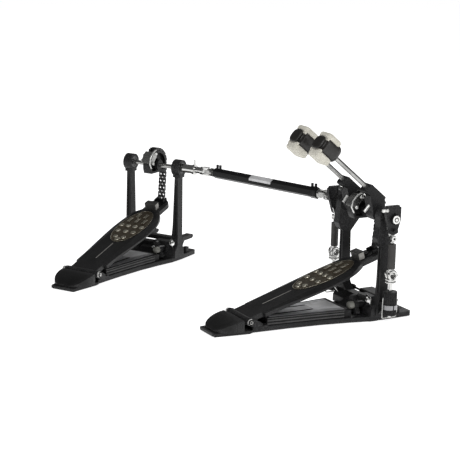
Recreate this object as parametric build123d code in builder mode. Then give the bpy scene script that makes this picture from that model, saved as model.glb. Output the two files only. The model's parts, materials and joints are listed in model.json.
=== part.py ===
"""Twin bass drum pedal: a main pedal with two beaters and a slave pedal joined by a drive shaft.

Each pedal is drawn in its own frame: X to the drummer's right, Y towards the drum, Z up, with the
origin on the floor below the middle of its axle. The main pedal's frame is the part's frame, and
the slave pedal stands to its left, turned and shifted by SLAVE_PLACE. Millimetres throughout.
"""

from math import atan2, cos, degrees, hypot, radians, sin
import os

from build123d import *

os.makedirs("parts", exist_ok=True)

# ---------------------------------------------------------------- driving dimensions
SLAVE_X = -486.0
SLAVE_Y = -153.0
SLAVE_YAW = 31.0

AXLE_Z = 182.0
AXLE_R = 4.0
RUN = 0.05  # radial running clearance of a shaft in its bore
GAP = 0.5  # air between parts that move past each other

POST_X = 54.0  # middle of each post
WIDER = 10.0  # the main frame's right post stands this much further out
POST_HALF_Y = 8.0
HEAD_HALF_X = 7.8
BEARING_R = 10.0

FLOOR_PAD = 2.0  # rubber under the base
PLATE_TOP = 10.0  # top of the base plate between and ahead of the posts
SPINE_TOP = 22.0  # top of the raised spine behind the posts

HINGE_Y = -232.0
HINGE_Z = 22.0
PIN_R = 3.0

BOARD_RISE = 17.5  # slope of the footboard at rest, degrees
BOARD_TOP_AT_PIN = 25.6  # height of the footboard's top face above the hinge pin's line
BOARD_THICK = 8.0
BOARD_END = 277.0
INLAY_S = 165.2
STOP_S = 236.5  # middle of the toe stop, along the footboard from the hinge
CHAIN_PIN_S = 270.5
CHAIN_PIN_N = 3.5

CAM_R = 27.0
CHAIN_END = 118.0  # angle round the cam, from its front, where the chain's end is held
CHAIN_THICK = 6.0
STRAND_X = 3.9  # middle of each of the two chain strands
STRAND_HALF = 3.3

BEATER_X = 35.0
BEATER_LEAN = 50.0  # rods lean this far back from upright at rest
ROD_OFFSET = 21.0  # rod axis from the axle's axis
ROD_R = 4.0
HEAD_T = 151.0  # middle of the beater head, along the rod
HEAD_R = 24.0
HUB_X0 = 24.5
HUB_X1 = 45.5

LEVER_X0 = 84.0
LEVER_X1 = 90.0
LEVER_PIN_DROP = 19.0
SPRING_X = 87.0
LUG_Z0 = 31.0
LUG_Z1 = 39.0
LUG_R = 12.0
EYE_Z = 86.0
COVER_Z0 = 99.5
COVER_Z1 = 140.0

JAW_PIVOT_Y = 18.5
MAIN_JAW_Z = 32.5
SLAVE_JAW_Z = 37.0
JAW_PIN_R = 1.8
WING_X = 33.0
WING_Z = 28.0
WING_STEM_R = 3.5
SPUR_R = 2.5

MAIN_JOINT_X = -121.0
SLAVE_JOINT_X = 118.0
SLEEVE_R = 8.6
DRIVE_ROD_R = 5.0

SLAVE_PLACE = Location((SLAVE_X, SLAVE_Y, 0), (0, 0, SLAVE_YAW))
LEFT_SIDE = Plane.YZ


def save(shape, name, place=None):
    """Label one finished piece and write it as one STEP file."""
    piece = shape if place is None else shape.moved(place)
    piece.label = name
    export_step(piece, f"parts/{name}.step")


def both_units(shape):
    """One group holding the piece of each pedal."""
    return Compound(children=[*shape.solids(), *shape.moved(SLAVE_PLACE).solids()])


def mirrored(shape):
    """The same piece on the other side of the pedal."""
    return mirror(shape, about=Plane.YZ)


# The footboard's own plane: local x is X, local y runs up the board from the hinge line.
board = Plane(
    origin=(0, HINGE_Y, BOARD_TOP_AT_PIN),
    x_dir=(1, 0, 0),
    z_dir=(0, -sin(radians(BOARD_RISE)), cos(radians(BOARD_RISE))),
)


def rod_plane(x):
    """Plane across the axle at x whose local y runs up a beater rod and local x towards the drum."""
    lean = radians(BEATER_LEAN)
    return Plane(origin=(x, 0, AXLE_Z), x_dir=(0, cos(lean), sin(lean)), z_dir=(1, 0, 0))


def rod_section(x, along):
    """Plane square to a beater rod, at a distance along it, with its origin on the rod's axis."""
    lean = radians(BEATER_LEAN)
    y = ROD_OFFSET * cos(lean) - along * sin(lean)
    z = AXLE_Z + ROD_OFFSET * sin(lean) + along * cos(lean)
    return Plane(origin=(x, y, z), x_dir=(1, 0, 0), z_dir=(0, -sin(lean), cos(lean)))


# ---------------------------------------------------------------- base plate
def base_plate():
    spine_back = -196.0
    spine_front = -44.0
    with BuildPart() as plate:
        with BuildSketch(Plane.XY.offset(FLOOR_PAD)):
            with BuildLine():
                side = [
                    (30, -224),
                    (33, -157),
                    (38, -100),
                    (46, -50),
                    (53, -16),
                    (54, 14),
                    (52, 64),
                ]
                Polyline([(0, -224), *side])
                RadiusArc((52, 64), (46, 70), -6)
                Line((46, 70), (0, 70))
                mirror(about=Plane.YZ)
            make_face()
        extrude(amount=PLATE_TOP - FLOOR_PAD)
        # raised spine that carries the top inlay, narrower than the plate
        with BuildSketch(Plane.XY.offset(PLATE_TOP)):
            with BuildLine():
                Polyline((0, spine_back), (27, spine_back), (35, -100), (41, spine_front))
                Line((41, spine_front), (0, spine_front))
                mirror(about=Plane.YZ)
            make_face()
        extrude(amount=SPINE_TOP - PLATE_TOP)
        # long grooves down each side of the spine
        for groove_z in (14.0, 18.5):
            with BuildSketch(Plane.XY.offset(groove_z)):
                with BuildLine():
                    Polyline(
                        (26.0, spine_back - 2), (34.0, -100), (39.2, -56), (50, -56),
                        (50, spine_back - 2), close=True,
                    )
                make_face()
                mirror(about=Plane.YZ)
            extrude(amount=2.0, mode=Mode.SUBTRACT)
        # shallow seat for the top inlay
        with BuildSketch(Plane.XY.offset(SPINE_TOP)):
            Polygon((-22, spine_back + 6), (22, spine_back + 6), (33, -52), (-33, -52), align=None)
        extrude(amount=-1.2, mode=Mode.SUBTRACT)
        # seat for the drum's hoop
        with BuildSketch(Plane.XY.offset(PLATE_TOP)):
            with Locations((0, 54)):
                Rectangle(60, 24)
        extrude(amount=0.8)
        # the toe plate rises a little towards the posts
        with BuildSketch(LEFT_SIDE):
            Polygon((20, PLATE_TOP), (34, PLATE_TOP), (20, PLATE_TOP + 4), align=None)
        extrude(amount=50, both=True)
    return plate.part


def base_inlay():
    """Pressed sheet on top of the spine."""
    with BuildPart() as inlay:
        with BuildSketch(Plane.XY.offset(SPINE_TOP - 1.2)):
            Polygon((-21.8, -189.8), (21.8, -189.8), (32.7, -52.2), (-32.7, -52.2), align=None)
        extrude(amount=2.2)
    return inlay.part


def hinge_bracket():
    """Strap across the base plate whose two ears hold the hinge pin."""
    ear_in = 28.5
    ear_out = 34.0
    with BuildPart() as bracket:
        with BuildSketch(Plane.XY.offset(PLATE_TOP)):
            with Locations((0, -208.5)):
                Rectangle(2 * ear_out, 22)
        extrude(amount=3)
        for x in (-ear_out, ear_in):
            with BuildSketch(Plane.YZ.offset(x)):
                with BuildLine():
                    Polyline((-208, PLATE_TOP), (-208, 17), (-226, 27), (HINGE_Y, 28.5))
                    ThreePointArc((HINGE_Y, 28.5), (HINGE_Y - 6.5, HINGE_Z), (HINGE_Y, 15.5))
                    Polyline((HINGE_Y, 15.5), (-219.5, PLATE_TOP), (-208, PLATE_TOP))
                make_face()
                with Locations((HINGE_Y, HINGE_Z)):
                    Circle(PIN_R, mode=Mode.SUBTRACT)
            extrude(amount=ear_out - ear_in)
    return bracket.part


def hinge_pin():
    with BuildPart() as pin:
        with BuildSketch(Plane.YZ.offset(-36)):
            with Locations((HINGE_Y, HINGE_Z)):
                Circle(PIN_R)
        extrude(amount=72)
        for x in (-40.5, 36.0):
            with BuildSketch(Plane.YZ.offset(x)):
                with Locations((HINGE_Y, HINGE_Z)):
                    Circle(5.2)
            extrude(amount=4.5)
        fillet(pin.edges().filter_by(GeomType.CIRCLE).group_by(Axis.X)[-1], 1.2)
        fillet(pin.edges().filter_by(GeomType.CIRCLE).group_by(Axis.X)[0], 1.2)
        with BuildSketch(Plane.YZ.offset(40.5)):
            with Locations((HINGE_Y, HINGE_Z)):
                RegularPolygon(2.3, 6)
        extrude(amount=-2, mode=Mode.SUBTRACT)
    return pin.part


# ---------------------------------------------------------------- heel
HEEL_BACK = -293.0
HEEL_FRONT = -242.0


def heel_base():
    """Heel flange on the floor, and the hinge bracket just ahead of it."""
    with BuildPart() as flange:
        with BuildSketch(Plane.XY.offset(FLOOR_PAD)):
            with BuildLine():
                Polyline((0, HEEL_BACK), (24, HEEL_BACK), (33, -224), (0, -224))
                mirror(about=Plane.YZ)
            make_face()
        extrude(amount=4.5)
        fillet(flange.edges().filter_by(Axis.Z), 4)
        with Locations((0, -270, FLOOR_PAD + 4.5), (0, -250, FLOOR_PAD + 4.5)):
            CounterSinkHole(radius=2, counter_sink_radius=3.8)
    return Compound(children=[*flange.part.solids(), *hinge_bracket().solids()])


def heel_plate():
    """Heel rest: rounded in plan behind, domed in side view, level with the footboard in front."""
    bottom = FLOOR_PAD + 4.5
    with BuildPart() as heel:
        with BuildSketch(Plane.XY.offset(bottom)):
            with BuildLine():
                Line((0, HEEL_FRONT), (35.5, HEEL_FRONT))
                Spline((35.5, HEEL_FRONT), (34, -262), (27, -278), (0, -286))
                mirror(about=Plane.YZ)
            make_face()
        extrude(amount=30)
        with BuildSketch(Plane.YZ.offset(-50)):
            with BuildLine():
                Line((-300, bottom), (-300, bottom + 1))
                Polyline((-300, bottom + 1), (-287, 9))
                Spline((-287, 9), (-276, 15), (-262, 20.5), (HEEL_FRONT + 1, 25.2))
                Polyline((HEEL_FRONT + 1, 25.2), (HEEL_FRONT + 1, bottom), (-300, bottom))
            make_face()
        extrude(amount=100, mode=Mode.INTERSECT)
        # hollow underside
        with BuildSketch(Plane.XY.offset(bottom)):
            with Locations((0, -260)):
                RectangleRounded(48, 26, 6)
        extrude(amount=7, mode=Mode.SUBTRACT)
    return heel.part


def rubber_pads():
    """Non-slip rubber below the heel flange and the front of the base, and the hoop's two blocks."""
    with BuildPart() as pads:
        with BuildSketch():
            with Locations((0, -258)):
                Trapezoid(58, 62, 84, rotation=180)
        extrude(amount=FLOOR_PAD)
        with BuildSketch():
            with Locations((0, -4)):
                RectangleRounded(98, 26, 8)
        extrude(amount=FLOOR_PAD)
        with BuildSketch():
            with Locations((0, 56)):
                RectangleRounded(84, 14, 5)
        extrude(amount=FLOOR_PAD)
        with BuildSketch(Plane.XY.offset(PLATE_TOP)):
            with Locations((-46, 42), (46, 42)):
                RectangleRounded(9, 10, 2)
        extrude(amount=10)
    return pads.part


# ---------------------------------------------------------------- frame
def post_frame(head_outline_left, head_outline_right, jaw_z, wider, lugs):
    """Cast frame: a cross-member and two posts, each ending in a bearing head."""
    foot_z = PLATE_TOP
    saddle_z = 33.0
    hump_z = 38.5
    with BuildPart() as frame:
        # front view of the arch, open between the posts
        with BuildSketch(Plane.XZ):
            with BuildLine():
                Polyline((-20, saddle_z), (-32, saddle_z), (-44.5, 46), (-47, 70), (-50.3, 172))
                Line((-50.3, 172), (-57.7, 172))
                Polyline((-57.7, 172), (-59, 44), (-59, foot_z), (59, foot_z), (59 + wider, 44))
                Polyline(
                    (59 + wider, 44), (57.7 + wider, 172), (50.3 + wider, 172),
                    (47 + wider, 70), (44.5 + wider, 46),
                )
                Polyline(
                    (44.5 + wider, 46), (38, hump_z), (6, hump_z), (0, saddle_z), (-20, saddle_z)
                )
            make_face()
        extrude(amount=POST_HALF_Y, both=True)
        corners = frame.edges().filter_by(Axis.Y).filter_by_position(Axis.Z, 32, 50)
        fillet(corners.filter_by_position(Axis.X, -46, 46 + wider), 5)
        # tongue back along the base, between the clamp screws
        with BuildSketch(Plane.YZ):
            Polygon(
                (-40, foot_z), (14, foot_z), (14, 24), (8, 30), (-8, 30), (-22, 26), (-40, 16),
                align=None,
            )
        extrude(amount=15, both=True)
        with BuildSketch(Plane.YZ.offset(-59)):
            Polygon((-17, foot_z), (14, foot_z), (14, 24), (8, 34), (-8, 34), (-17, 22), align=None)
        extrude(amount=118)
        # bores for the clamp screw and the floor spurs
        with BuildSketch(Plane.XZ.offset(60)):
            with Locations((WING_X, WING_Z)):
                Circle(WING_STEM_R + RUN)
        extrude(amount=-120, mode=Mode.SUBTRACT)
        for side in (-1, 1):
            with BuildSketch(spur_plane(side)):
                Circle(SPUR_R)
            extrude(amount=60, mode=Mode.SUBTRACT)
        # recess down the back of each post
        for x in (-53.5, 53.5 + wider):
            with BuildSketch(Plane.XZ.offset(POST_HALF_Y)):
                with Locations((x, 100)):
                    RectangleRounded(3.0, 96, 1.4)
            extrude(amount=-1.0, mode=Mode.SUBTRACT)
        # heads
        head_middles = (-POST_X, POST_X + wider)
        for x, outline in zip(head_middles, (head_outline_left, head_outline_right)):
            with BuildSketch(Plane.YZ.offset(x - HEAD_HALF_X)):
                outline()
            extrude(amount=2 * HEAD_HALF_X)
        for x in head_middles:
            with BuildSketch(Plane.YZ.offset(x - HEAD_HALF_X)):
                with Locations((0, AXLE_Z)):
                    Circle(BEARING_R)
            extrude(amount=2 * HEAD_HALF_X, mode=Mode.SUBTRACT)
        # ears and pin that the clamp's upper jaw turns on
        for x in (-54.0, 48.0):
            with BuildSketch(Plane.YZ.offset(x)):
                with Locations((JAW_PIVOT_Y, jaw_z)):
                    Circle(4.6)
                Polygon(
                    (4, jaw_z - 11), (14, jaw_z - 15), (20, jaw_z - 6), (20, jaw_z - 1),
                    (4, jaw_z + 3), align=None,
                )
            extrude(amount=6)
        with BuildSketch(Plane.YZ.offset(-52)):
            with Locations((JAW_PIVOT_Y, jaw_z)):
                Circle(JAW_PIN_R)
        extrude(amount=104)
        if lugs:
            for side in (-1, 1):
                with BuildSketch(Plane.XY.offset(LUG_Z0)):
                    with Locations((side * SPRING_X, 0)):
                        Circle(LUG_R)
                    with Locations((side * (SPRING_X + 57) / 2, 0)):
                        Rectangle(SPRING_X - 57, 15)
                extrude(amount=LUG_Z1 - LUG_Z0)
                with BuildSketch(Plane.XY.offset(LUG_Z0)):
                    with Locations((side * SPRING_X, 0)):
                        Circle(3.1)
                extrude(amount=LUG_Z1 - LUG_Z0, mode=Mode.SUBTRACT)
                # web under the arm
                with BuildSketch(Plane.XZ.offset(-3.5)):
                    Polygon(
                        (side * 58, 12), (side * 58, LUG_Z0), (side * 75, LUG_Z0), align=None
                    )
                extrude(amount=7)
    return frame.part


def round_head():
    """Plain round bearing head."""
    with Locations((0, AXLE_Z)):
        Circle(15.3)
    with Locations((0, 171)):
        Rectangle(16, 14)


def wide_head():
    """Bearing head that spreads below the axle, to the front more than to the back."""
    with Locations((0, AXLE_Z)):
        Circle(15.3)
    Polygon(
        (-8, 134), (6.5, 134), (26, 158), (15.2, 184), (-15.2, 184), (-16.5, 170),
        (-19, 149), (-15, 140), align=None,
    )


def narrow_head():
    """Bearing head with a bulge behind only."""
    with Locations((0, AXLE_Z)):
        Circle(15.3)
    Polygon(
        (-8, 130), (8, 130), (10, 150), (15.2, 184), (-15.2, 184), (-14.5, 165),
        (-19.5, 147), (-18, 140), (-12, 133), align=None,
    )


def bearing(x):
    """Ball bearing cartridge in a post head; the axle turns in its bore."""
    with BuildPart() as ring:
        with BuildSketch(Plane.YZ.offset(x - HEAD_HALF_X)):
            with Locations((0, AXLE_Z)):
                Circle(BEARING_R)
                Circle(AXLE_R + RUN, mode=Mode.SUBTRACT)
        extrude(amount=2 * HEAD_HALF_X)
        with BuildSketch(Plane.YZ.offset(x - HEAD_HALF_X)):
            with Locations((0, AXLE_Z)):
                Circle(8.2)
                Circle(5.6, mode=Mode.SUBTRACT)
        extrude(amount=1, mode=Mode.SUBTRACT)
        with BuildSketch(Plane.YZ.offset(x + HEAD_HALF_X)):
            with Locations((0, AXLE_Z)):
                Circle(8.2)
                Circle(5.6, mode=Mode.SUBTRACT)
        extrude(amount=-1, mode=Mode.SUBTRACT)
    return ring.part


def bearing_pair(wider):
    right = bearing(POST_X + wider)
    return Compound(children=[*right.solids(), *mirrored(bearing(POST_X)).solids()])


# ---------------------------------------------------------------- footboard
def footboard():
    with BuildPart() as plate:
        with BuildSketch(board):
            with BuildLine():
                Polyline((0, -7), (27.8, -7), (27.8, 27), (33.5, 29), (34, 50))
                Spline((34, 50), (38, 100), (41.5, 150), (37, 197), (19.5, 231))
                Line((19.5, 231), (19.5, 259))
                ThreePointArc((19.5, 259), (14, 271), (0, BOARD_END))
                mirror(about=Plane.YZ)
            make_face()
        extrude(amount=-BOARD_THICK)
        # crowned section: level in the middle, falling away to both sides
        with BuildSketch(Plane(origin=board.from_local_coords((0, -20, 0)), z_dir=board.y_dir,
                               x_dir=(1, 0, 0))):
            Polygon((-50, 9), (50, 9), (50, 8), (28.5, 0), (-28.5, 0), (-50, 8), align=None)
        extrude(amount=320, mode=Mode.INTERSECT)
        # knuckle round the hinge pin, between the bracket's ears
        with BuildSketch(Plane.YZ.offset(-27.5)):
            with Locations((HINGE_Y, HINGE_Z)):
                Circle(6.2)
            Polygon((HINGE_Y, 15.9), (HINGE_Y, 24), (-205, 30), (-214, 22), align=None)
        extrude(amount=55)
        with BuildSketch(Plane.YZ.offset(-40)):
            with Locations((HINGE_Y, HINGE_Z)):
                Circle(PIN_R + RUN)
        extrude(amount=80, mode=Mode.SUBTRACT)
        # seat for the grip inlay and the centre groove behind it
        with BuildSketch(board):
            with Locations((0, INLAY_S)):
                Ellipse(28.6, 59.6)
        extrude(amount=-1.2, mode=Mode.SUBTRACT)
        with BuildSketch(board):
            with Locations((0, 72)):
                SlotOverall(58, 2.2, rotation=90)
        extrude(amount=-1.0, mode=Mode.SUBTRACT)
    return plate.part


def grip_inlay():
    """Oval tread plate with raised studs and bars."""
    studs = [(0, 114), (-8.6, 122), (8.6, 122)]
    studs += [(x, 143) for x in (-17, 0, 17)]
    studs += [(x, 163.5) for x in (-22, -7.5, 7.5, 22)]
    bars = [(x, 184) for x in (-16, 0, 16)]
    bars += [(-8, 203), (8, 203)]
    with BuildPart() as inlay:
        with BuildSketch(board.offset(-1.2)):
            with Locations((0, INLAY_S)):
                Ellipse(28.4, 59.4)
        extrude(amount=2.0)
        with BuildSketch(board.offset(0.8)):
            with Locations(*studs):
                Circle(4.6)
            with Locations(*bars):
                SlotOverall(16, 6.4, rotation=90)
        extrude(amount=1.8)
        tops = inlay.faces().filter_by(lambda face: face.normal_at().dot(board.z_dir) > 0.99)
        raised = tops.sort_by(Axis(board.origin, board.z_dir))[1:]
        fillet(raised.edges(), 1.2)
    return inlay.part


def toe_stop():
    with BuildPart() as block:
        with BuildSketch(board):
            with Locations((0, STOP_S)):
                Rectangle(24, 13)
        extrude(amount=14.5)
        fillet(block.edges().filter_by(Axis(board.origin, board.z_dir)), 2)
        fillet(block.faces().sort_by(Axis(board.origin, board.z_dir))[-1].edges(), 1.5)
    return block.part


def chain_clamp():
    """Bracket at the footboard's tip whose pin holds the last chain link."""
    ear_in = 8.0
    ear_out = 10.0
    with BuildPart() as clamp:
        with BuildSketch(board):
            with Locations((0, 259.5)):
                Rectangle(2 * ear_out, 29)
        extrude(amount=1.4)
        with BuildSketch(board):
            with Locations(
                ((ear_in + ear_out) / 2, 267), (-(ear_in + ear_out) / 2, 267)
            ):
                Rectangle(ear_out - ear_in, 14)
        extrude(amount=7)
        with BuildSketch(Plane.YZ.offset(-11.2)):
            centre = board.from_local_coords((0, CHAIN_PIN_S, CHAIN_PIN_N))
            with Locations((centre.Y, centre.Z)):
                Circle(1.8)
        extrude(amount=22.4)
        # screw that holds the bracket on the board
        with BuildSketch(board.offset(1.4)):
            with Locations((0, 253)):
                Circle(4.2)
        extrude(amount=2.6)
        with BuildSketch(board.offset(4.0)):
            with Locations((0, 253)):
                RegularPolygon(2.0, 6)
        extrude(amount=-1.6, mode=Mode.SUBTRACT)
    return clamp.part


# ---------------------------------------------------------------- chain and cam
def chain_centre():
    return board.from_local_coords((0, CHAIN_PIN_S, CHAIN_PIN_N))


def chain_run():
    """The chain's straight run, from the cam's front down to its pin: two strands side by side."""
    end = chain_centre()
    radius = CAM_R + CHAIN_THICK / 2
    top = AXLE_Z - 0.6
    with BuildPart() as run:
        for x in (-STRAND_X, STRAND_X):
            with BuildSketch(Plane.YZ.offset(x - STRAND_HALF)):
                Polygon(
                    (radius - 2.9, top), (radius + 3, top), (end.Y + 3, end.Z + 2.4),
                    (end.Y - 2.9, end.Z + 2.4), align=None,
                )
            extrude(amount=2 * STRAND_HALF)
    return run.part


def chain_wrap():
    """The chain where it lies over the cam."""
    end = radians(CHAIN_END)
    with BuildPart() as wrap:
        for x in (-STRAND_X, STRAND_X):
            with BuildSketch(Plane.YZ.offset(x - STRAND_HALF)):
                with Locations((0, AXLE_Z)):
                    Circle(CAM_R + CHAIN_THICK)
                    Circle(CAM_R, mode=Mode.SUBTRACT)
                    with Locations((0, -30)):
                        Rectangle(100, 60, mode=Mode.SUBTRACT)
                Polygon(
                    (0, AXLE_Z), (60 * cos(end), AXLE_Z + 60 * sin(end)), (-60, AXLE_Z + 60),
                    (-60, AXLE_Z), align=None, mode=Mode.SUBTRACT,
                )
            extrude(amount=2 * STRAND_HALF)
    return wrap.part


def cam():
    """Round cam wheel, flat below, keyed on the axle."""
    with BuildPart() as wheel:
        with BuildSketch(Plane.YZ.offset(-8.5)):
            with Locations((0, AXLE_Z)):
                Circle(CAM_R)
                with Locations((0, -37)):
                    Rectangle(80, 46, mode=Mode.SUBTRACT)
        extrude(amount=17)
        # recessed faces leave a rim, with a web between them
        for x, depth in ((-8.5, 5.0), (8.5, -5.0)):
            with BuildSketch(Plane.YZ.offset(x)):
                with Locations((0, AXLE_Z)):
                    Circle(CAM_R - 4)
                    Circle(11.5, mode=Mode.SUBTRACT)
                    with Locations((0, -35)):
                        Rectangle(80, 50, mode=Mode.SUBTRACT)
            extrude(amount=depth, mode=Mode.SUBTRACT)
        with BuildSketch(Plane.YZ.offset(-12)):
            with Locations((0, AXLE_Z)):
                Circle(10)
        extrude(amount=24)
        with BuildSketch(Plane.YZ.offset(-12)):
            with Locations((0, AXLE_Z)):
                Circle(AXLE_R)
        extrude(amount=24, mode=Mode.SUBTRACT)
    return wheel.part


def cam_clamp():
    """Bright saddle that holds the chain's end on the back of the cam, with its two screws."""
    outer = CAM_R + 3.4
    half = 10.5
    span = [
        (60 * cos(radians(turn)), AXLE_Z + 60 * sin(radians(turn))) for turn in (168, 144, 120)
    ]
    with BuildPart() as saddle:
        with BuildSketch(Plane.YZ.offset(-half)):
            with Locations((0, AXLE_Z)):
                Circle(outer)
                Circle(CAM_R + 0.1, mode=Mode.SUBTRACT)
            Polygon((0, AXLE_Z), *span, align=None, mode=Mode.INTERSECT)
        extrude(amount=2 * half)
        for x in (-half, half - 2):
            with BuildSketch(Plane.YZ.offset(x)):
                with Locations((0, AXLE_Z)):
                    Circle(outer)
                    Circle(CAM_R - 8, mode=Mode.SUBTRACT)
                Polygon((0, AXLE_Z), *span, align=None, mode=Mode.INTERSECT)
            extrude(amount=2.0)
        for turn in (131, 157):
            y = 24 * cos(radians(turn))
            z = AXLE_Z + 24 * sin(radians(turn))
            with BuildSketch(Plane.YZ.offset(-half - 3.5)):
                with Locations((y, z)):
                    Circle(3.6)
            extrude(amount=3.5)
    return saddle.part


# ---------------------------------------------------------------- axles and hubs
def axle(x0, x1, pilot_length=0.0, pilot_bore=0.0):
    """Round axle; the inner end may carry a thin pilot pin, or the bore that pin turns in."""
    with BuildPart() as shaft:
        with BuildSketch(Plane.YZ.offset(x0)):
            with Locations((0, AXLE_Z)):
                Circle(AXLE_R)
        extrude(amount=x1 - x0)
        chamfer(shaft.edges().filter_by(GeomType.CIRCLE), 0.5)
        if pilot_length:
            with BuildSketch(Plane.YZ.offset(x0)):
                with Locations((0, AXLE_Z)):
                    Circle(2.0)
            extrude(amount=-pilot_length)
        if pilot_bore:
            with BuildSketch(Plane.YZ.offset(x1)):
                with Locations((0, AXLE_Z)):
                    Circle(2.0 + RUN)
            extrude(amount=-pilot_bore, mode=Mode.SUBTRACT)
    return shaft.part


def beater_hub():
    """Hub: a boss round the axle that carries a bar along the beater rod."""
    with BuildPart() as hub:
        with BuildSketch(rod_plane(HUB_X0)):
            with Locations((ROD_OFFSET - 1.5, 26.5)):
                RectangleRounded(17, 38, 2)
            Circle(12.5)
            Polygon((-12.2, 2), (12, -5.0), (25.2, 8), (26, 34), (12, 34), align=None)
        extrude(amount=HUB_X1 - HUB_X0)
        # ribs across the upper end
        with BuildSketch(rod_plane(HUB_X0)):
            for step in range(3):
                with Locations((11.4, 36.4 + 3.4 * step)):
                    Rectangle(2.4, 1.7)
        extrude(amount=HUB_X1 - HUB_X0, mode=Mode.SUBTRACT)
        with BuildSketch(rod_plane(HUB_X0)):
            Circle(AXLE_R)
        extrude(amount=HUB_X1 - HUB_X0, mode=Mode.SUBTRACT)
        with BuildSketch(rod_section(BEATER_X, -10)):
            Circle(ROD_R + RUN)
        extrude(amount=70, mode=Mode.SUBTRACT)
    return hub.part


def beater_rod():
    with BuildPart() as rod:
        with BuildSketch(rod_section(BEATER_X, -4)):
            Circle(ROD_R)
        extrude(amount=HEAD_T + 7)
        chamfer(rod.edges().filter_by(GeomType.CIRCLE), 0.6)
    return rod.part


def head_plane(n):
    """Plane square to the strike direction, n in front of the middle of the beater head."""
    lean = radians(BEATER_LEAN)
    y = (ROD_OFFSET + n) * cos(lean) - HEAD_T * sin(lean)
    z = AXLE_Z + (ROD_OFFSET + n) * sin(lean) + HEAD_T * cos(lean)
    return Plane(origin=(BEATER_X, y, z), x_dir=(1, 0, 0), z_dir=(0, cos(lean), sin(lean)))


CORE_BACK = -11.0
CORE_FRONT = 14.0


def beater_core():
    """Moulded body of the beater between its two felt faces."""
    with BuildPart() as core:
        with BuildSketch(head_plane(CORE_BACK)):
            Circle(HEAD_R)
        extrude(amount=CORE_FRONT - CORE_BACK)
        with BuildSketch(rod_section(BEATER_X, HEAD_T - 40)):
            Circle(ROD_R)
        extrude(amount=43, mode=Mode.SUBTRACT)
    return core.part


def beater_felts():
    with BuildPart() as felts:
        with BuildSketch(head_plane(CORE_FRONT)):
            Circle(HEAD_R)
        extrude(amount=11)
        with BuildSketch(head_plane(CORE_BACK)):
            Circle(HEAD_R)
        extrude(amount=-15)
    return felts.part


# ---------------------------------------------------------------- spring side
def spring_lever():
    """Plate clamped on the axle's end whose lower end pulls the spring."""
    with BuildPart() as lever:
        with BuildSketch(Plane.YZ.offset(LEVER_X0)):
            with BuildLine():
                Line((-14, 204.5), (9, 204.5))
                RadiusArc((9, 204.5), (12.5, 201), -3.5)
                Polyline((12.5, 201), (12.5, 180), (6.8, 161))
                ThreePointArc((6.8, 161), (-0.5, 155.5), (-7.8, 161))
                Polyline((-7.8, 161), (-16.5, 190), (-17.5, 201))
                RadiusArc((-17.5, 201), (-14, 204.5), -3.5)
            make_face()
            with Locations((0, AXLE_Z)):
                Circle(AXLE_R, mode=Mode.SUBTRACT)
            with Locations((0, AXLE_Z - LEVER_PIN_DROP)):
                Circle(2.5, mode=Mode.SUBTRACT)
            with Locations((0, 197)):
                Rectangle(1.8, 16, mode=Mode.SUBTRACT)
        extrude(amount=LEVER_X1 - LEVER_X0)
    return lever.part


def lever_bolt(capped):
    """The spring's pin through the lever, and on a capped end the round bolt on the axle."""
    pin_z = AXLE_Z - LEVER_PIN_DROP
    with BuildPart() as bolt:
        with BuildSketch(Plane.YZ.offset(LEVER_X0 - 5.0)):
            with Locations((0, pin_z)):
                Circle(2.5)
        extrude(amount=LEVER_X1 - LEVER_X0 + 9)
        for x, radius, length in ((LEVER_X0 - 5.6, 3.6, 1.6), (LEVER_X1 + 4.0, 3.9, 2.4)):
            with BuildSketch(Plane.YZ.offset(x)):
                with Locations((0, pin_z)):
                    Circle(radius)
            extrude(amount=length)
        if capped:
            with BuildSketch(Plane.YZ.offset(LEVER_X1)):
                with Locations((0, AXLE_Z)):
                    Circle(8.2)
            extrude(amount=5.5)
            rim = bolt.edges().filter_by(GeomType.CIRCLE).filter_by(lambda e: e.radius > 8)
            fillet(rim.sort_by(Axis.X)[-1], 1.5)
            with BuildSketch(Plane.YZ.offset(LEVER_X1 + 5.5)):
                with Locations((0, AXLE_Z)):
                    RegularPolygon(3.4, 6)
            extrude(amount=-3, mode=Mode.SUBTRACT)
    return bolt.part


def spring_clevis():
    """Fork that straddles the lever on its pin, down to the spring cover."""
    pin_z = AXLE_Z - LEVER_PIN_DROP
    with BuildPart() as fork:
        with BuildSketch(Plane.XY.offset(COVER_Z1)):
            with Locations((SPRING_X, 0)):
                Circle(5.0)
        extrude(amount=6)
        for x in (LEVER_X0 - GAP - 2.9, LEVER_X1 + GAP):
            with BuildSketch(Plane.YZ.offset(x)):
                with Locations((0, 150)):
                    Rectangle(7.6, 8)
                Polygon((-3.8, 150), (3.8, 150), (4.4, pin_z), (-4.4, pin_z), align=None)
                with Locations((0, pin_z)):
                    Circle(4.4)
                    Circle(2.5 + RUN, mode=Mode.SUBTRACT)
            extrude(amount=2.9)
        with BuildSketch(Plane.YZ.offset(LEVER_X0 - GAP - 2.9)):
            with Locations((0, 148)):
                Rectangle(7.6, 4)
        extrude(amount=LEVER_X1 - LEVER_X0 + 2 * GAP + 5.8)
    return fork.part


def spring_cover():
    with BuildPart() as tube:
        with BuildSketch(Plane.XY.offset(COVER_Z0)):
            with Locations((SPRING_X, 0)):
                Circle(6.4)
                Circle(5.3, mode=Mode.SUBTRACT)
        extrude(amount=COVER_Z1 - COVER_Z0)
        with BuildSketch(Plane.XY.offset(COVER_Z1 - 2)):
            with Locations((SPRING_X, 0)):
                Circle(5.3)
        extrude(amount=2)
    return tube.part


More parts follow.
